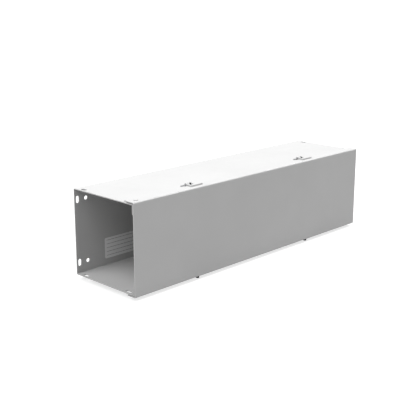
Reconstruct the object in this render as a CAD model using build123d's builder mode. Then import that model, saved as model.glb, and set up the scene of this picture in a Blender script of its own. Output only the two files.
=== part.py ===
import os

from build123d import *

# Hinged cover wireway: a sheet steel trough that is open at both ends and along its
# front, with a flat cover that hangs on two hinges along the top and is held by two
# screws along the bottom. X runs along the trough, the cover's face looks to -Y, the
# wall side is +Y and +Z is up. The origin is under the middle, level with the lowest
# points, which are the heads of the two screws. All sizes are in millimetres.

# Overall sizes
length = 603.25
trough_height = 152.4
depth = 152.4

# Sheet and bends
sheet = 1.6
bend_inside = 0.5
bend_outside = bend_inside + sheet

# How the cover sits over the trough
cover_side_gap = 1.3
cover_front_gap = 0.5
return_depth = 19.0
lip_height = 17.0

# Small round button pressed up from the cover's top return, near its left end
button_diameter = 7.8
button_height = 1.1
button_edge = 0.2
button_from_end = 14.2
button_from_face = 10.3
button_hollow_diameter = 7.0
button_hollow_depth = 0.9
button_hollow_taper = 40.0

# Slots at the trough's ends, for the couplings that join one section to the next
slot_width = 6.4
slot_length = 12.7
slot_from_end = 6.35
slot_from_edge = 20.3
front_slot_from_face = 20.6

# Round holes in the back wall, for the screws that fix the trough to a wall
wall_hole_diameter = 7.1
wall_hole_from_end = 24.0

# Cover screws, which stand in the trough's floor and pass open slots in the cover
screw_from_face = 10.0
screw_shank_diameter = 4.0
screw_hole_clearance = 0.05
screw_slot_clearance = 0.5
screw_head_diameter = 6.4
screw_head_height = 6.0
screw_head_clearance = 0.1
screw_head_chamfer = 0.6
screw_tip_above_floor = 2.6
screw_tip_chamfer = 0.5
driver_slot_width = 1.2
driver_slot_depth = 2.0

# Hinges
knuckle_left_of_station = 15.2
knuckle_diameter = 6.6
knuckle_length = 3.3
end_knuckle_length = 2.8
knuckle_end_gap = 0.3
knuckle_floor_gap = 0.5
knuckle_side_gap = 0.4
cover_leaf_sheet = 2.6
body_leaf_sheet = 1.6
leaf_right_of_station = 12.4
cover_leaf_width = 10.2
cover_leaf_corner = 1.2
notch_depth = 5.4
body_leaf_width = 10.0
body_leaf_corner = 5.0
pin_diameter = 2.6
pin_clearance = 0.05
pin_chamfer = 0.4
pin_tail = 11.6
pin_head_diameter = 4.4
pin_head_length = 1.2
spacer_diameter = 5.0
spacer_length = 3.8
spacer_gap = 0.2

# Places that follow from the sizes
left_x = -length / 2
front_y = -depth / 2
back_y = depth / 2
cover_bottom_z = screw_head_height + screw_head_clearance
trough_bottom_z = cover_bottom_z + sheet + cover_side_gap
trough_top_z = trough_bottom_z + trough_height
cover_top_z = trough_top_z + cover_side_gap + sheet
cover_height = cover_top_z - cover_bottom_z
cover_mid_z = (cover_top_z + cover_bottom_z) / 2
trough_mid_z = (trough_top_z + trough_bottom_z) / 2
trough_front_y = front_y + sheet + cover_front_gap
trough_depth = back_y - trough_front_y
trough_mid_y = (trough_front_y + back_y) / 2
return_end_y = front_y + return_depth
screw_y = front_y + screw_from_face
stations = (-length / 4, length / 4)

knuckle_radius = knuckle_diameter / 2
swing_radius = knuckle_radius + knuckle_side_gap
pin_hole_radius = pin_diameter / 2 + pin_clearance
axis_y = return_end_y + swing_radius
axis_z = trough_top_z + knuckle_floor_gap + knuckle_radius

# Places along each hinge, from the left end of its knuckles
body_knuckle_x = knuckle_length + knuckle_end_gap
spacer_x = body_knuckle_x + knuckle_length + spacer_gap
end_knuckle_x = spacer_x + spacer_length + spacer_gap
pin_head_x = end_knuckle_x + end_knuckle_length + knuckle_end_gap


# Trough: one sheet bent into a channel with a lip along each edge of its open front
front_opening = trough_height - 2 * lip_height
with BuildPart() as trough:
    with BuildSketch(Plane.YZ.offset(left_x)):
        with Locations((trough_mid_y, trough_mid_z)):
            RectangleRounded(trough_depth, trough_height, bend_outside)
            RectangleRounded(
                trough_depth - 2 * sheet,
                trough_height - 2 * sheet,
                bend_inside,
                mode=Mode.SUBTRACT,
            )
        with Locations((trough_front_y + sheet / 2, trough_mid_z)):
            Rectangle(2 * sheet, front_opening, mode=Mode.SUBTRACT)
    extrude(amount=length)

    # Upright coupling slots and round wall holes, through the back wall
    slot_row = trough_height - 2 * slot_from_edge
    with BuildSketch(Plane.XZ.offset(-back_y)):
        with Locations((0, trough_mid_z)):
            with GridLocations(length - 2 * slot_from_end, slot_row, 2, 2):
                SlotOverall(slot_length, slot_width, rotation=90)
            with GridLocations(length - 2 * wall_hole_from_end, slot_row, 2, 2):
                Circle(wall_hole_diameter / 2)
    extrude(amount=2 * sheet, mode=Mode.SUBTRACT)

    # Coupling slots across the top and the floor, near the back and near the front
    for y in (back_y - slot_from_edge, trough_front_y + front_slot_from_face):
        for z in (trough_top_z, trough_bottom_z):
            with BuildSketch(Plane.XY.offset(z)):
                with Locations((0, y)):
                    with GridLocations(length - 2 * slot_from_end, slot_row, 2, 1):
                        SlotOverall(slot_length, slot_width, rotation=90)
            extrude(amount=2 * sheet, both=True, mode=Mode.SUBTRACT)

    # Holes in the floor that hold the cover screws
    with BuildSketch(Plane.XY.offset(trough_bottom_z)):
        with Locations(*[(x, screw_y) for x in stations]):
            Circle(screw_shank_diameter / 2 + screw_hole_clearance)
    extrude(amount=2 * sheet, both=True, mode=Mode.SUBTRACT)
trough.part.label = "trough"


# Cover: a flat panel with a return along its top and its bottom edge
with BuildPart() as cover:
    with BuildSketch(Plane.YZ.offset(left_x)):
        with Locations((return_end_y, cover_mid_z)):
            RectangleRounded(2 * return_depth, cover_height, bend_outside)
            RectangleRounded(
                2 * (return_depth - sheet),
                cover_height - 2 * sheet,
                bend_inside,
                mode=Mode.SUBTRACT,
            )
            Rectangle(
                2 * return_depth,
                cover_height,
                align=(Align.MIN, Align.CENTER),
                mode=Mode.SUBTRACT,
            )
    extrude(amount=length)

    # Slots in the bottom return, open to the rear, so the cover swings past its screws
    slot_half_width = screw_shank_diameter / 2 + screw_slot_clearance
    with BuildSketch(Plane.XY.offset(cover_bottom_z)):
        for x in stations:
            with Locations((x, screw_y)):
                Circle(slot_half_width)
                Rectangle(
                    2 * slot_half_width,
                    return_depth,
                    align=(Align.CENTER, Align.MIN),
                )
    extrude(amount=sheet, mode=Mode.SUBTRACT)

    # Button on the top return, with the hollow that pressing leaves under it
    button_place = (left_x + button_from_end, front_y + button_from_face)
    with BuildSketch(Plane.XY.offset(cover_top_z - sheet / 2)):
        with Locations(button_place):
            Circle(button_diameter / 2)
    extrude(amount=sheet / 2 + button_height)
    fillet(cover.edges().filter_by(GeomType.CIRCLE).sort_by(Axis.Z)[-1], button_edge)
    with BuildSketch(Plane.XY.offset(cover_top_z - sheet)):
        with Locations(button_place):
            Circle(button_hollow_diameter / 2)
    extrude(amount=button_hollow_depth, taper=button_hollow_taper, mode=Mode.SUBTRACT)
cover.part.label = "cover"


def on_hinge_axis(start_x, radius, bar_length):
    """Round bar along the hinges' axis, for the knuckles, the pins and their bores."""
    with BuildPart() as bar:
        with BuildSketch(Plane.YZ.offset(start_x)):
            with Locations((axis_y, axis_z)):
                Circle(radius)
        extrude(amount=bar_length)
    return bar.part


def hinge_cover_leaf(station):
    """Leaf on top of the cover's return, with a knuckle at each side of its notch."""
    leaf_x = station - knuckle_left_of_station
    leaf_length = knuckle_left_of_station + leaf_right_of_station
    knuckles = ((leaf_x, knuckle_length), (leaf_x + end_knuckle_x, end_knuckle_length))
    with BuildPart() as leaf:
        with BuildSketch(Plane.XY.offset(cover_top_z)):
            with Locations((leaf_x, return_end_y)):
                plate = Rectangle(leaf_length, cover_leaf_width, align=(Align.MIN, Align.MAX))
            fillet(plate.vertices().group_by(Axis.Y)[0], cover_leaf_corner)
            with Locations((leaf_x + knuckle_length, return_end_y)):
                Rectangle(
                    end_knuckle_x - knuckle_length,
                    notch_depth,
                    align=(Align.MIN, Align.MAX),
                    mode=Mode.SUBTRACT,
                )
            for x, knuckle in knuckles:
                with Locations((x, return_end_y)):
                    Rectangle(knuckle, axis_y - return_end_y, align=(Align.MIN, Align.MIN))
        extrude(amount=cover_leaf_sheet)
        for x, knuckle in knuckles:
            add(on_hinge_axis(x, knuckle_radius, knuckle))
            add(on_hinge_axis(x, pin_hole_radius, knuckle), mode=Mode.SUBTRACT)
    return leaf


def hinge_body_leaf(station):
    """Leaf on the trough's top, with the knuckle that the pin is fixed in."""
    leaf_x = station - knuckle_left_of_station + body_knuckle_x
    leaf_length = station + leaf_right_of_station - leaf_x
    with BuildPart() as leaf:
        with BuildSketch(Plane.XY.offset(trough_top_z)):
            with Locations((leaf_x, axis_y + swing_radius)):
                plate = Rectangle(leaf_length, body_leaf_width, align=(Align.MIN, Align.MIN))
            fillet(plate.vertices().group_by(Axis.Y)[-1], body_leaf_corner)
            with Locations((leaf_x, axis_y)):
                Rectangle(knuckle_length, swing_radius, align=(Align.MIN, Align.MIN))
        extrude(amount=body_leaf_sheet)
        add(on_hinge_axis(leaf_x, knuckle_radius, knuckle_length))
        add(on_hinge_axis(leaf_x, pin_hole_radius, knuckle_length), mode=Mode.SUBTRACT)
    return leaf


def hinge_pin(station):
    """Round pin through the knuckles, from its bare tail to its small head."""
    knuckle_x = station - knuckle_left_of_station
    tail_x = knuckle_x - pin_tail
    head_x = knuckle_x + pin_head_x
    with BuildPart() as pin:
        add(on_hinge_axis(tail_x, pin_diameter / 2, head_x - tail_x))
        add(on_hinge_axis(head_x, pin_head_diameter / 2, pin_head_length))
        ends = pin.edges().filter_by(GeomType.CIRCLE).sort_by(Axis.X)
        chamfer([ends[0], ends[-1]], pin_chamfer)
    return pin


def pin_spacer(station):
    """Dark spacer ring on the pin, between the trough's knuckle and the end knuckle."""
    ring_x = station - knuckle_left_of_station + spacer_x
    with BuildPart() as spacer:
        add(on_hinge_axis(ring_x, spacer_diameter / 2, spacer_length))
        add(on_hinge_axis(ring_x, pin_hole_radius, spacer_length), mode=Mode.SUBTRACT)
    return spacer


def cover_screw(station):
    """Slotted screw up through the cover's return into the trough's floor."""
    tip_z = trough_bottom_z + sheet + screw_tip_above_floor
    with BuildPart() as screw:
        with BuildSketch(Plane.XY):
            with Locations((station, screw_y)):
                Circle(screw_head_diameter / 2)
        extrude(amount=screw_head_height)
        chamfer(screw.edges().filter_by(GeomType.CIRCLE).sort_by(Axis.Z)[0], screw_head_chamfer)
        with BuildSketch(Plane.XY):
            with Locations((station, screw_y)):
                Rectangle(screw_head_diameter, driver_slot_width)
        extrude(amount=driver_slot_depth, mode=Mode.SUBTRACT)
        with BuildSketch(Plane.XY.offset(screw_head_height)):
            with Locations((station, screw_y)):
                Circle(screw_shank_diameter / 2)
        extrude(amount=tip_z - screw_head_height)
        chamfer(screw.edges().filter_by(GeomType.CIRCLE).sort_by(Axis.Z)[-1], screw_tip_chamfer)
    return screw


os.makedirs("parts", exist_ok=True)
export_step(trough.part, "parts/trough.step")
export_step(cover.part, "parts/cover.step")

repeated = {
    "hinge_cover_leaf": hinge_cover_leaf,
    "hinge_body_leaf": hinge_body_leaf,
    "hinge_pin": hinge_pin,
    "pin_spacer": pin_spacer,
    "cover_screw": cover_screw,
}
for side, station in zip(("left", "right"), stations):
    for name, make in repeated.items():
        piece = make(station)
        piece.part.label = f"{name}_{side}"
        export_step(piece.part, f"parts/{name}_{side}.step")
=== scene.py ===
"""Looks of a hinged cover wireway: powder coated sheet, plated fasteners, blank label."""

import math

import bmesh
import bpy
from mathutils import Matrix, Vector


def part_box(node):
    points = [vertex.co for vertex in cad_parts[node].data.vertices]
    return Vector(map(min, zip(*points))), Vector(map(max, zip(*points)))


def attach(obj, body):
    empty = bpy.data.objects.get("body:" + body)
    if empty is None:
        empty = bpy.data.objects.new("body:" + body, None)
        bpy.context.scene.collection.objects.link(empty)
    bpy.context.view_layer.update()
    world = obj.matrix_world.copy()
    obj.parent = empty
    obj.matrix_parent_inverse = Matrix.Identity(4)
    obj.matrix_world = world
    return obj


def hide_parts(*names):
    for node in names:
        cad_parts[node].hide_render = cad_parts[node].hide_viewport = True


bl_info = {
    "name": "Hinged cover wireway",
    "version": (1, 0, 0),
    "blender": (4, 5, 0),
    "location": "3D View > Sidebar > Wireway",
    "description": "Finishes, fasteners and stage of a hinged cover wireway",
    "category": "Object",
}

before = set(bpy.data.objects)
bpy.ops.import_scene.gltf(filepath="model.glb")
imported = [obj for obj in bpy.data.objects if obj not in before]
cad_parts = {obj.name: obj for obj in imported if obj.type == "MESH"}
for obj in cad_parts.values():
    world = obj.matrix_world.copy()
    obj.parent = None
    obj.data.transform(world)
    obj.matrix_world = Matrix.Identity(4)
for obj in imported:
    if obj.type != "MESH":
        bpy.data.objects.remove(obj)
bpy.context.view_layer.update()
MM = 0.001

TROUGH_LOW, TROUGH_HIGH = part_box("trough")
SIDES = ("left", "right")
TROUGH_BODY = "trough_body"
COVER_BODY = "cover_body"

# Thicknesses in the solids, and the gap between the trough's top and the cover's return.
SHEET = 1.6 * MM
COVER_GAP = 1.3 * MM
COVER_LEAF_SHEET = 2.6 * MM
BODY_LEAF_SHEET = 1.6 * MM

# Screws and pins: the head's edges, the core and its end, how finely they turn, their gloss.
HEAD_ROUNDING = 0.6 * MM
HEAD_RIM = 0.2 * MM
CORE_UNDER_THREAD = 0.35 * MM
CORE_CHAMFER = 0.5 * MM
TIP_WITHOUT_THREAD = 0.6 * MM
SCREW_SIDES = 48
THREAD_STEPS = 32
DARK_ROUGHNESS = (0.3, 0.45)
ZINC_ROUGHNESS = (0.25, 0.4)

# Weld marks: how far they sit from the leaf's edge, and their shape.
WELDS_FROM_BODY_LEAF_REAR = 5.0 * MM
WELDS_FROM_COVER_LEAF_FRONT = 2.7 * MM
WELD_SIDES = 24
WELD_TOP_SHARE = 0.72

# Size of the orange peel on the leaves against that on the sheet.
LEAF_PEEL_SHARE = 0.8

# Degrees between the points of a rounded edge or corner.
ROUND_STEP_DEGREES = 15

# Stage: spread of each lamp in degrees, where it shines, and sizes of camera and floor.
KEY_SPREAD, KEY_TOWARDS = 40, (-0.35, 0.1, -1.0)
FILL_SPREAD, FILL_TOWARDS = 50, (1.0, 0.0, -1.5)
SENSOR_WIDTH_MM = 36.0
VIEW_END = 500.0
FLOOR_HALF = 150.0

# Middle of a noise, and the sockets of a colour Mix node, whose names repeat.
NOISE_MIDDLE = (0.3, 0.7)
MIX_FACTOR, MIX_FIRST, MIX_SECOND, MIX_RESULT = 0, 6, 7, 2


def set_input(node, name, value):
    """Gives one named input of a node its value."""
    node.inputs[name].default_value = value


def fresh_material(name):
    """A new node material with its Principled shader, its tree and its coordinates."""
    material = bpy.data.materials.new(name)
    material.use_nodes = True
    tree = material.node_tree
    shader = tree.nodes["Principled BSDF"]
    place = tree.nodes.new("ShaderNodeTexCoord").outputs["Object"]
    return material, tree, shader, place


def noise(tree, place, scale, detail, roughness=0.5):
    """Noise at one scale, read at the object's own place."""
    node = tree.nodes.new("ShaderNodeTexNoise")
    set_input(node, "Scale", scale)
    set_input(node, "Detail", detail)
    set_input(node, "Roughness", roughness)
    tree.links.new(place, node.inputs["Vector"])
    return node.outputs["Fac"]


def spread(tree, value, low, high):
    """Maps the middle of a noise to a range of values."""
    node = tree.nodes.new("ShaderNodeMapRange")
    set_input(node, "From Min", NOISE_MIDDLE[0])
    set_input(node, "From Max", NOISE_MIDDLE[1])
    set_input(node, "To Min", low)
    set_input(node, "To Max", high)
    tree.links.new(value, node.inputs["Value"])
    return node.outputs["Result"]


def two_colours(tree, value, first, second):
    """Mixes two colours by a value."""
    node = tree.nodes.new("ShaderNodeMix")
    node.data_type = "RGBA"
    node.inputs[MIX_FIRST].default_value = (*first, 1.0)
    node.inputs[MIX_SECOND].default_value = (*second, 1.0)
    tree.links.new(value, node.inputs[MIX_FACTOR])
    return node.outputs[MIX_RESULT]


def bump(tree, shader, height, distance, strength=1.0):
    """Relief on the shader's normal, by a height and its depth in metres."""
    node = tree.nodes.new("ShaderNodeBump")
    set_input(node, "Distance", distance)
    set_input(node, "Strength", strength)
    tree.links.new(height, node.inputs["Height"])
    tree.links.new(node.outputs["Normal"], shader.inputs["Normal"])


def powder_coat(name, colour, peel_size):
    """Light grey powder coat: fine orange peel, a faint drift of tone and of gloss."""
    drift_scale, gloss_scale = 9.0, 60.0
    darkest, lightest = 0.975, 1.025
    rough_low, rough_high = 0.54, 0.61
    peel_depth, peel_strength = 0.03 * MM, 0.5
    material, tree, shader, place = fresh_material(name)
    tone = spread(tree, noise(tree, place, drift_scale, detail=3.0), 0.0, 1.0)
    darker = tuple(darkest * c for c in colour)
    lighter = tuple(lightest * c for c in colour)
    tree.links.new(two_colours(tree, tone, darker, lighter), shader.inputs["Base Color"])
    gloss = spread(tree, noise(tree, place, gloss_scale, detail=4.0), rough_low, rough_high)
    tree.links.new(gloss, shader.inputs["Roughness"])
    peel = noise(tree, place, 1.0 / peel_size, detail=2.0, roughness=0.45)
    bump(tree, shader, peel, peel_depth, peel_strength)
    return material


def plated_steel(name, colour, roughness):
    """Plated steel with fine turning marks and uneven gloss."""
    tone_scale, gloss_scale, mark_scale = 400.0, 900.0, 2500.0
    mark_depth, mark_strength, shine = 0.01 * MM, 0.4, 1.5
    material, tree, shader, place = fresh_material(name)
    set_input(shader, "Metallic", 1.0)
    tone = spread(tree, noise(tree, place, tone_scale, detail=3.0), 0.0, 1.0)
    lighter = tuple(shine * c for c in colour)
    tree.links.new(two_colours(tree, tone, colour, lighter), shader.inputs["Base Color"])
    gloss = spread(tree, noise(tree, place, gloss_scale, detail=2.0), *roughness)
    tree.links.new(gloss, shader.inputs["Roughness"])
    marks = noise(tree, place, mark_scale, detail=2.0)
    bump(tree, shader, marks, mark_depth, mark_strength)
    return material


def label_film(name, colour, low, high):
    """Blank write-on label film: plain ruled lines inside a margin, no lettering."""
    margin, rule, gap = 4.0 * MM, 0.7 * MM, 7.0 * MM
    ink_share, gloss_scale, ripple_scale = 0.35, 220.0, 90.0
    rough_low, rough_high = 0.3, 0.42
    ripple_depth, ripple_strength = 0.05 * MM, 0.3
    material, tree, shader, place = fresh_material(name)
    axes = tree.nodes.new("ShaderNodeSeparateXYZ")
    tree.links.new(place, axes.inputs["Vector"])

    def calc(operation, first, second):
        node = tree.nodes.new("ShaderNodeMath")
        node.operation = operation
        for socket, value in zip(node.inputs, (first, second)):
            if isinstance(value, float):
                socket.default_value = value
            else:
                tree.links.new(value, socket)
        return node.outputs["Value"]

    def inside(value, start, end):
        after = calc("GREATER_THAN", value, start)
        before = calc("LESS_THAN", value, end)
        return calc("MULTIPLY", after, before)

    x, z = axes.outputs["X"], axes.outputs["Z"]
    from_top = calc("SUBTRACT", float(high.z - margin), z)
    in_row = calc("LESS_THAN", calc("MODULO", from_top, gap), rule)
    in_height = inside(z, float(low.z + margin), float(high.z - margin))
    in_width = inside(x, float(low.x + margin), float(high.x - margin))
    printed = calc("MULTIPLY", calc("MULTIPLY", in_row, in_height), in_width)
    ink = tuple(ink_share * c for c in colour)
    tree.links.new(two_colours(tree, printed, colour, ink), shader.inputs["Base Color"])
    gloss = spread(tree, noise(tree, place, gloss_scale, detail=3.0), rough_low, rough_high)
    tree.links.new(gloss, shader.inputs["Roughness"])
    ripple = noise(tree, place, ripple_scale, detail=3.0)
    bump(tree, shader, ripple, ripple_depth, ripple_strength)
    return material


def new_piece(name, mesh, material):
    """Puts a finished mesh into the scene with one material."""
    piece = bpy.data.objects.new(name, mesh)
    bpy.context.scene.collection.objects.link(piece)
    mesh.materials.clear()
    mesh.materials.append(material)
    return piece


def repaint(node, material):
    """Gives a CAD node's object a better material."""
    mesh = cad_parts[node].data
    mesh.materials.clear()
    mesh.materials.append(material)


def plain_mesh(piece):
    """Turns a piece's live modifiers into a plain mesh and returns it."""
    graph = bpy.context.evaluated_depsgraph_get()
    mesh = bpy.data.meshes.new_from_object(piece.evaluated_get(graph), depsgraph=graph)
    piece.modifiers.clear()
    return mesh


def turned(profile, centre, sides):
    """A closed turned mesh about an upright axis, from (radius, height) points."""
    shape = bmesh.new()
    rings = []
    for radius, height in profile:
        ring = []
        for step in range(sides):
            angle = 2 * math.pi * step / sides
            across = Vector((radius * math.cos(angle), radius * math.sin(angle), height))
            ring.append(shape.verts.new(centre + across))
        rings.append(ring)
    for below, above in zip(rings, rings[1:]):
        for step in range(sides):
            after = (step + 1) % sides
            shape.faces.new((below[step], below[after], above[after], above[step]))
    shape.faces.new(list(reversed(rings[0])))
    shape.faces.new(rings[-1])
    bmesh.ops.recalc_face_normals(shape, faces=shape.faces)
    mesh = bpy.data.meshes.new("turned")
    shape.to_mesh(mesh)
    shape.free()
    return mesh


def box_mesh(low, high):
    """A closed box mesh between two corners."""
    shape = bmesh.new()
    bmesh.ops.create_cube(shape, size=1.0)
    for vert in shape.verts:
        for axis in range(3):
            middle = (low[axis] + high[axis]) / 2
            vert.co[axis] = middle + vert.co[axis] * (high[axis] - low[axis])
    mesh = bpy.data.meshes.new("box")
    shape.to_mesh(mesh)
    shape.free()
    return mesh


def new_tree(name, sizes):
    """A Geometry Nodes tree with named size inputs and a geometry output."""
    tree = bpy.data.node_groups.new(name, "GeometryNodeTree")
    inputs = (("Geometry", "NodeSocketGeometry"), ("Material", "NodeSocketMaterial"), *sizes)
    for socket_name, kind in inputs:
        tree.interface.new_socket(socket_name, in_out="INPUT", socket_type=kind)
    tree.interface.new_socket("Geometry", in_out="OUTPUT", socket_type="NodeSocketGeometry")
    source = tree.nodes.new("NodeGroupInput")
    target = tree.nodes.new("NodeGroupOutput")
    return tree, source, target


def end_tree(tree, source, target, geometry):
    """Realizes the tree's instances and gives the result its material."""
    realize = tree.nodes.new("GeometryNodeRealizeInstances")
    paint = tree.nodes.new("GeometryNodeSetMaterial")
    tree.links.new(geometry, realize.inputs["Geometry"])
    tree.links.new(realize.outputs["Geometry"], paint.inputs["Geometry"])
    tree.links.new(source.outputs["Material"], paint.inputs["Material"])
    tree.links.new(paint.outputs["Geometry"], target.inputs["Geometry"])


def run_tree(piece, tree, values):
    """Runs a tree on a piece with its inputs set, and keeps the plain mesh."""
    modifier = piece.modifiers.new("Shape", "NODES")
    modifier.node_group = tree
    for item in tree.interface.items_tree:
        if item.in_out == "INPUT" and item.name in values:
            modifier[item.identifier] = values[item.name]
    bpy.context.view_layer.update()
    piece.data = plain_mesh(piece)


def thread_tree():
    """A square ridge wound on its corner along an upright shank."""
    tree, source, target = new_tree(
        "Screw thread",
        (
            ("Turns", "NodeSocketFloat"),
            ("Radius", "NodeSocketFloat"),
            ("Height", "NodeSocketFloat"),
            ("Ridge", "NodeSocketFloat"),
            ("Centre", "NodeSocketVector"),
        ),
    )
    path = tree.nodes.new("GeometryNodeCurveSpiral")
    set_input(path, "Resolution", THREAD_STEPS)
    tree.links.new(source.outputs["Turns"], path.inputs["Rotations"])
    tree.links.new(source.outputs["Radius"], path.inputs["Start Radius"])
    tree.links.new(source.outputs["Radius"], path.inputs["End Radius"])
    tree.links.new(source.outputs["Height"], path.inputs["Height"])
    ridge = tree.nodes.new("GeometryNodeCurvePrimitiveCircle")
    set_input(ridge, "Resolution", 4)
    tree.links.new(source.outputs["Ridge"], ridge.inputs["Radius"])
    skin = tree.nodes.new("GeometryNodeCurveToMesh")
    set_input(skin, "Fill Caps", True)
    tree.links.new(path.outputs["Curve"], skin.inputs["Curve"])
    tree.links.new(ridge.outputs["Curve"], skin.inputs["Profile Curve"])
    move = tree.nodes.new("GeometryNodeTransform")
    tree.links.new(skin.outputs["Mesh"], move.inputs["Geometry"])
    tree.links.new(source.outputs["Centre"], move.inputs["Translation"])
    join = tree.nodes.new("GeometryNodeJoinGeometry")
    tree.links.new(source.outputs["Geometry"], join.inputs["Geometry"])
    tree.links.new(move.outputs["Geometry"], join.inputs["Geometry"])
    end_tree(tree, source, target, join.outputs["Geometry"])
    return tree


def weld_tree():
    """A shallow round weld mark on every vertex of the piece's mesh."""
    tree, source, target = new_tree(
        "Weld marks",
        (("Radius", "NodeSocketFloat"), ("Height", "NodeSocketFloat")),
    )
    mark = tree.nodes.new("GeometryNodeMeshCone")
    set_input(mark, "Vertices", WELD_SIDES)
    tree.links.new(source.outputs["Radius"], mark.inputs["Radius Bottom"])
    taper = tree.nodes.new("ShaderNodeMath")
    taper.operation = "MULTIPLY"
    taper.inputs[1].default_value = WELD_TOP_SHARE
    tree.links.new(source.outputs["Radius"], taper.inputs[0])
    tree.links.new(taper.outputs["Value"], mark.inputs["Radius Top"])
    tree.links.new(source.outputs["Height"], mark.inputs["Depth"])
    place = tree.nodes.new("GeometryNodeInstanceOnPoints")
    tree.links.new(source.outputs["Geometry"], place.inputs["Points"])
    tree.links.new(mark.outputs["Mesh"], place.inputs["Instance"])
    end_tree(tree, source, target, place.outputs["Instances"])
    return tree


class WirewaySheetProps(bpy.types.PropertyGroup):
    """Finish of the trough, the cover and the hinge leaves."""

    colour: bpy.props.FloatVectorProperty(
        name="Paint colour",
        description="Base colour of the powder coat",
        subtype="COLOR",
        size=3,
        min=0.0,
        max=1.0,
        default=(0.48, 0.48, 0.48),
    )
    peel_size: bpy.props.FloatProperty(
        name="Orange peel size",
        description="Width of one dimple of the powder coat",
        unit="LENGTH",
        default=1.3 * MM,
    )


class WirewayFastenerProps(bpy.types.PropertyGroup):
    """Sizes and finish of the cover screws, and finish of the hinge pins and spacers."""

    colour: bpy.props.FloatVectorProperty(
        name="Dark plating colour",
        description="Base colour of the screws and the pin spacers",
        subtype="COLOR",
        size=3,
        min=0.0,
        max=1.0,
        default=(0.03, 0.03, 0.033),
    )
    pin_colour: bpy.props.FloatVectorProperty(
        name="Pin plating colour",
        description="Base colour of the hinge pins",
        subtype="COLOR",
        size=3,
        min=0.0,
        max=1.0,
        default=(0.42, 0.42, 0.43),
    )
    head_radius: bpy.props.FloatProperty(
        name="Head radius",
        description="Radius of the screw's head",
        unit="LENGTH",
        default=3.2 * MM,
    )
    head_height: bpy.props.FloatProperty(
        name="Head height",
        description="Height of the screw's head",
        unit="LENGTH",
        default=6.0 * MM,
    )
    thread_radius: bpy.props.FloatProperty(
        name="Thread radius",
        description="Outer radius of the thread",
        unit="LENGTH",
        default=2.0 * MM,
    )
    pitch: bpy.props.FloatProperty(
        name="Thread pitch",
        description="Rise of one turn of thread",
        unit="LENGTH",
        default=0.7 * MM,
    )
    slot_width: bpy.props.FloatProperty(
        name="Slot width",
        description="Width of the driver slot",
        unit="LENGTH",
        default=1.2 * MM,
    )
    slot_depth: bpy.props.FloatProperty(
        name="Slot depth",
        description="Depth of the driver slot",
        unit="LENGTH",
        default=2.0 * MM,
    )


class WirewayWeldProps(bpy.types.PropertyGroup):
    """Spot weld marks that fix the hinge leaves."""

    radius: bpy.props.FloatProperty(
        name="Mark radius",
        description="Radius of one weld mark",
        unit="LENGTH",
        default=1.9 * MM,
    )
    height: bpy.props.FloatProperty(
        name="Mark height",
        description="Rise of one weld mark",
        unit="LENGTH",
        default=0.12 * MM,
    )
    count: bpy.props.IntProperty(
        name="Marks per leaf",
        description="Weld marks on each hinge leaf",
        default=3,
        min=1,
        max=6,
    )


class WirewayLabelProps(bpy.types.PropertyGroup):
    """Size and place of the blank label on the inside of the back wall."""

    colour: bpy.props.FloatVectorProperty(
        name="Film colour",
        description="Base colour of the label film",
        subtype="COLOR",
        size=3,
        min=0.0,
        max=1.0,
        default=(0.80, 0.80, 0.80),
    )
    width: bpy.props.FloatProperty(
        name="Width",
        description="Length of the label along the trough",
        unit="LENGTH",
        default=101.6 * MM,
    )
    height: bpy.props.FloatProperty(
        name="Height",
        description="Height of the label",
        unit="LENGTH",
        default=37.5 * MM,
    )
    from_end: bpy.props.FloatProperty(
        name="From the end",
        description="Gap from the open end",
        unit="LENGTH",
        default=61.7 * MM,
    )
    above_floor: bpy.props.FloatProperty(
        name="Above the floor",
        description="Gap over the trough's underside",
        unit="LENGTH",
        default=13.6 * MM,
    )
    thickness: bpy.props.FloatProperty(
        name="Thickness",
        description="Thickness of the film",
        unit="LENGTH",
        default=0.15 * MM,
    )
    corner: bpy.props.FloatProperty(
        name="Corner radius",
        description="Radius of the label's corners",
        unit="LENGTH",
        default=2.5 * MM,
    )


class WirewayStageProps(bpy.types.PropertyGroup):
    """Camera, light and floor."""

    camera_place: bpy.props.FloatVectorProperty(
        name="Camera place",
        description="Where the camera stands",
        subtype="TRANSLATION",
        unit="LENGTH",
        size=3,
        default=(-1.1170, -1.0250, 0.4973),
    )
    camera_heading: bpy.props.FloatProperty(
        name="Heading",
        description="Turn of the camera from +Y",
        subtype="ANGLE",
        default=math.radians(-45.41),
    )
    camera_pitch: bpy.props.FloatProperty(
        name="Pitch",
        description="How far the camera looks down",
        subtype="ANGLE",
        default=math.radians(14.75),
    )
    camera_roll: bpy.props.FloatProperty(
        name="Roll",
        description="Roll of the camera",
        subtype="ANGLE",
        default=math.radians(-0.03),
    )
    lens: bpy.props.FloatProperty(
        name="Lens",
        description="Focal length on a 36 mm sensor, in mm",
        default=75.0,
    )
    sky: bpy.props.FloatProperty(
        name="Sky",
        description="Level of the even light from all round",
        default=0.39,
        min=0.0,
    )
    key: bpy.props.FloatProperty(
        name="Key",
        description="Strength of the soft light from above",
        default=3.3,
        min=0.0,
    )
    fill: bpy.props.FloatProperty(
        name="Fill",
        description="Strength of the slanting light into the open end",
        default=2.2,
        min=0.0,
    )
    floor_colour: bpy.props.FloatProperty(
        name="Floor grey",
        description="Reflectance of the floor",
        default=0.32,
        min=0.0,
        max=1.0,
    )
    floor_lift: bpy.props.FloatProperty(
        name="Floor lift",
        description="White that the camera sees on the floor",
        default=0.74,
        min=0.0,
    )


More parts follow.
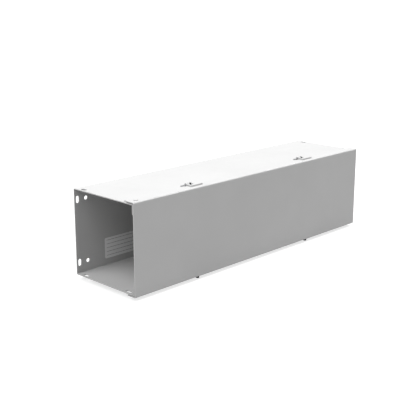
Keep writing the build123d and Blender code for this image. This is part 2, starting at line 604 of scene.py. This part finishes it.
class WIREWAY_OT_sheet(bpy.types.Operator):
    """Gives the trough, the cover and the hinge leaves their powder coat"""

    bl_idname = "wireway.sheet"
    bl_label = "Sheet and hinge leaves"

    def execute(self, context):
        props = context.scene.wireway_sheet
        colour = tuple(props.colour)
        repaint("trough", powder_coat("Trough powder coat", colour, props.peel_size))
        repaint("cover", powder_coat("Cover powder coat", colour, props.peel_size))
        leaf_paint = powder_coat("Hinge powder coat", colour, LEAF_PEEL_SHARE * props.peel_size)
        for side in SIDES:
            repaint(f"hinge_body_leaf_{side}", leaf_paint)
            repaint(f"hinge_cover_leaf_{side}", leaf_paint)
        return {"FINISHED"}


class WIREWAY_OT_fasteners(bpy.types.Operator):
    """Makes the slotted, threaded cover screws and plates the hinge pins and spacers"""

    bl_idname = "wireway.fasteners"
    bl_label = "Screws, hinge pins and spacers"

    def execute(self, context):
        props = context.scene.wireway_fasteners
        steel = plated_steel("Dark plated steel", tuple(props.colour), DARK_ROUGHNESS)
        zinc = tuple(props.pin_colour)
        pin_steel = plated_steel("Zinc plated steel", zinc, ZINC_ROUGHNESS)
        threads = thread_tree()
        for side in SIDES:
            repaint(f"hinge_pin_{side}", pin_steel)
            repaint(f"pin_spacer_{side}", steel)
            node = f"cover_screw_{side}"
            low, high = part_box(node)
            centre = Vector(((low.x + high.x) / 2, (low.y + high.y) / 2, low.z))
            height = high.z - low.z
            piece = self.screw(f"cover_screw_threaded_{side}", props, centre, height, steel)
            ridge = 0.5 * props.pitch
            rise = height - TIP_WITHOUT_THREAD - props.head_height
            values = {
                "Material": steel,
                "Turns": rise / props.pitch,
                "Radius": props.thread_radius - ridge,
                "Height": rise,
                "Ridge": ridge,
                "Centre": centre + Vector((0, 0, props.head_height)),
            }
            run_tree(piece, threads, values)
            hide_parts(node)
            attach(piece, TROUGH_BODY)
        return {"FINISHED"}

    def screw(self, name, props, centre, height, steel):
        """Head with a rounded lower edge and a driver slot, and a chamfered core."""
        core = props.thread_radius - CORE_UNDER_THREAD
        head = props.head_radius
        edge = HEAD_ROUNDING
        turns = [math.radians(t) for t in range(0, 91, ROUND_STEP_DEGREES)]
        profile = [(head - edge + edge * math.sin(a), edge - edge * math.cos(a)) for a in turns]
        profile += [
            (head, props.head_height - HEAD_RIM),
            (head - HEAD_RIM, props.head_height),
            (core, props.head_height),
            (core, height - CORE_CHAMFER),
            (core - CORE_CHAMFER, height),
        ]
        piece = new_piece(name, turned(profile, centre, SCREW_SIDES), steel)
        reach = Vector((2 * head, props.slot_width / 2, props.slot_depth))
        cutter = new_piece("slot_cutter", box_mesh(centre - reach, centre + reach), steel)
        cut = piece.modifiers.new("Slot", "BOOLEAN")
        cut.operation = "DIFFERENCE"
        cut.solver = "EXACT"
        cut.object = cutter
        bpy.context.view_layer.update()
        piece.data = plain_mesh(piece)
        bpy.data.objects.remove(cutter)
        return piece


class WIREWAY_OT_welds(bpy.types.Operator):
    """Puts a row of spot weld marks on each hinge leaf"""

    bl_idname = "wireway.welds"
    bl_label = "Weld marks"

    def execute(self, context):
        props = context.scene.wireway_welds
        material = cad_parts["hinge_body_leaf_left"].data.materials[0]
        tree = weld_tree()
        values = {"Material": material, "Radius": props.radius, "Height": props.height}
        for kind, body in (("body", TROUGH_BODY), ("cover", COVER_BODY)):
            piece = new_piece(f"hinge_weld_marks_{kind}", self.points(props, kind), material)
            run_tree(piece, tree, values)
            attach(piece, body)
        return {"FINISHED"}

    def points(self, props, kind):
        """A mesh of one vertex for each weld mark, on the flat of both leaves."""
        places = []
        for side in SIDES:
            low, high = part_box(f"hinge_{kind}_leaf_{side}")
            if kind == "body":
                y = high.y - WELDS_FROM_BODY_LEAF_REAR
                top = TROUGH_HIGH.z + BODY_LEAF_SHEET
            else:
                y = low.y + WELDS_FROM_COVER_LEAF_FRONT
                top = TROUGH_HIGH.z + COVER_GAP + SHEET + COVER_LEAF_SHEET
            step = (high.x - low.x) / props.count
            for number in range(props.count):
                places.append((low.x + step * (number + 0.5), y, top))
        mesh = bpy.data.meshes.new("weld_points")
        mesh.from_pydata(places, [], [])
        return mesh


class WIREWAY_OT_label(bpy.types.Operator):
    """Sticks the blank label on the inside of the back wall"""

    bl_idname = "wireway.label"
    bl_label = "Blank label"

    def execute(self, context):
        props = context.scene.wireway_label
        left = TROUGH_LOW.x + props.from_end
        front = TROUGH_HIGH.y - SHEET - props.thickness
        low = Vector((left, front, TROUGH_LOW.z + props.above_floor))
        high = low + Vector((props.width, props.thickness, props.height))
        material = label_film("Blank label film", tuple(props.colour), low, high)
        piece = new_piece("blank_label", self.film(low, high, props.corner), material)
        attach(piece, TROUGH_BODY)
        return {"FINISHED"}

    def film(self, low, high, corner):
        """A thin plate with rounded corners, its edge a closed wall."""
        outline = []
        corners = (
            (high.x - corner, high.z - corner, 0),
            (low.x + corner, high.z - corner, 90),
            (low.x + corner, low.z + corner, 180),
            (high.x - corner, low.z + corner, 270),
        )
        for x, z, start in corners:
            for turn in range(0, 91, ROUND_STEP_DEGREES):
                angle = math.radians(start + turn)
                outline.append((x + corner * math.cos(angle), z + corner * math.sin(angle)))
        shape = bmesh.new()
        front = [shape.verts.new((x, low.y, z)) for x, z in outline]
        back = [shape.verts.new((x, high.y, z)) for x, z in outline]
        shape.faces.new(front)
        shape.faces.new(list(reversed(back)))
        for step in range(len(outline)):
            after = (step + 1) % len(outline)
            shape.faces.new((front[step], back[step], back[after], front[after]))
        bmesh.ops.recalc_face_normals(shape, faces=shape.faces)
        mesh = bpy.data.meshes.new("label")
        shape.to_mesh(mesh)
        shape.free()
        return mesh


class WIREWAY_OT_stage(bpy.types.Operator):
    """Sets the camera, the soft light and the white floor"""

    bl_idname = "wireway.stage"
    bl_label = "Stage"

    def execute(self, context):
        props = context.scene.wireway_stage
        self.camera(context, props)
        self.world(context, props)
        self.sun(context, "Key", props.key, KEY_SPREAD, KEY_TOWARDS)
        self.sun(context, "Fill", props.fill, FILL_SPREAD, FILL_TOWARDS)
        self.floor(props)
        context.scene.view_settings.view_transform = "Standard"
        return {"FINISHED"}

    def camera(self, context, props):
        """The camera at its place, turned by heading, pitch and roll."""
        data = bpy.data.cameras.new("Camera")
        data.sensor_width = SENSOR_WIDTH_MM
        data.sensor_fit = "HORIZONTAL"
        data.lens = props.lens
        data.clip_end = VIEW_END
        camera = bpy.data.objects.new("Camera", data)
        camera.location = props.camera_place
        camera.rotation_euler = (math.pi / 2 - props.camera_pitch, 0.0, props.camera_heading)
        camera.rotation_euler.rotate_axis("Z", props.camera_roll)
        context.scene.collection.objects.link(camera)
        context.scene.camera = camera

    def seen_white(self, tree):
        """One where the camera, a reflection or glass looks, nought elsewhere."""
        path = tree.nodes.new("ShaderNodeLightPath")
        seen = path.outputs["Is Camera Ray"]
        for name in ("Is Glossy Ray", "Is Transmission Ray"):
            either = tree.nodes.new("ShaderNodeMath")
            either.operation = "MAXIMUM"
            tree.links.new(seen, either.inputs[0])
            tree.links.new(path.outputs[name], either.inputs[1])
            seen = either.outputs["Value"]
        return seen

    def world(self, context, props):
        """Even light from all round, white where it is seen."""
        world = bpy.data.worlds.new("Even light")
        world.use_nodes = True
        tree = world.node_tree
        light = tree.nodes["Background"]
        set_input(light, "Color", (1.0, 1.0, 1.0, 1.0))
        level = tree.nodes.new("ShaderNodeMapRange")
        set_input(level, "To Min", props.sky)
        set_input(level, "To Max", 1.0)
        tree.links.new(self.seen_white(tree), level.inputs["Value"])
        tree.links.new(level.outputs["Result"], light.inputs["Strength"])
        context.scene.world = world

    def sun(self, context, name, level, spread_degrees, towards):
        """One soft lamp that leaves no spot in a reflection."""
        data = bpy.data.lights.new(name, "SUN")
        data.energy = level
        data.angle = math.radians(spread_degrees)
        lamp = bpy.data.objects.new(name, data)
        lamp.visible_glossy = False
        lamp.rotation_euler = Vector(towards).to_track_quat("-Z", "Y").to_euler()
        context.scene.collection.objects.link(lamp)

    def floor(self, props):
        """A wide floor that looks white and keeps the shadow."""
        half = FLOOR_HALF
        mesh = bpy.data.meshes.new("floor")
        corners = [(-half, -half, 0), (half, -half, 0), (half, half, 0), (-half, half, 0)]
        mesh.from_pydata(corners, [], [(0, 1, 2, 3)])
        material = bpy.data.materials.new("White floor")
        material.use_nodes = True
        tree = material.node_tree
        shader = tree.nodes["Principled BSDF"]
        grey = props.floor_colour
        set_input(shader, "Base Color", (grey, grey, grey, 1.0))
        set_input(shader, "Roughness", 1.0)
        set_input(shader, "Specular IOR Level", 0.0)
        set_input(shader, "Emission Color", (1.0, 1.0, 1.0, 1.0))
        lift = tree.nodes.new("ShaderNodeMath")
        lift.operation = "MULTIPLY"
        lift.inputs[1].default_value = props.floor_lift
        tree.links.new(self.seen_white(tree), lift.inputs[0])
        tree.links.new(lift.outputs["Value"], shader.inputs["Emission Strength"])
        new_piece("Floor", mesh, material)


OPERATORS = (
    WIREWAY_OT_sheet,
    WIREWAY_OT_fasteners,
    WIREWAY_OT_welds,
    WIREWAY_OT_label,
    WIREWAY_OT_stage,
)
GROUPS = {
    "wireway_sheet": WirewaySheetProps,
    "wireway_fasteners": WirewayFastenerProps,
    "wireway_welds": WirewayWeldProps,
    "wireway_label": WirewayLabelProps,
    "wireway_stage": WirewayStageProps,
}


class WIREWAY_PT_panel(bpy.types.Panel):
    """Lists the wireway's pieces and their settings"""

    bl_idname = "WIREWAY_PT_panel"
    bl_label = "Hinged cover wireway"
    bl_space_type = "VIEW_3D"
    bl_region_type = "UI"
    bl_category = "Wireway"

    def draw(self, context):
        for operator, (name, group) in zip(OPERATORS, GROUPS.items()):
            box = self.layout.box()
            box.operator(operator.bl_idname)
            settings = getattr(context.scene, name)
            for prop in group.__annotations__:
                box.prop(settings, prop)


CLASSES = (*GROUPS.values(), *OPERATORS, WIREWAY_PT_panel)


def register():
    """Registers the classes and puts the settings on the scene."""
    for cls in CLASSES:
        bpy.utils.register_class(cls)
    for name, group in GROUPS.items():
        setattr(bpy.types.Scene, name, bpy.props.PointerProperty(type=group))


def unregister():
    """Takes the settings and the classes away again."""
    for name in GROUPS:
        delattr(bpy.types.Scene, name)
    for cls in reversed(CLASSES):
        bpy.utils.unregister_class(cls)


def main():
    """Makes every piece in order."""
    register()
    bpy.ops.wireway.sheet()
    bpy.ops.wireway.fasteners()
    bpy.ops.wireway.welds()
    bpy.ops.wireway.label()
    bpy.ops.wireway.stage()
    bpy.context.view_layer.update()


if __name__ == "__main__":
    main()
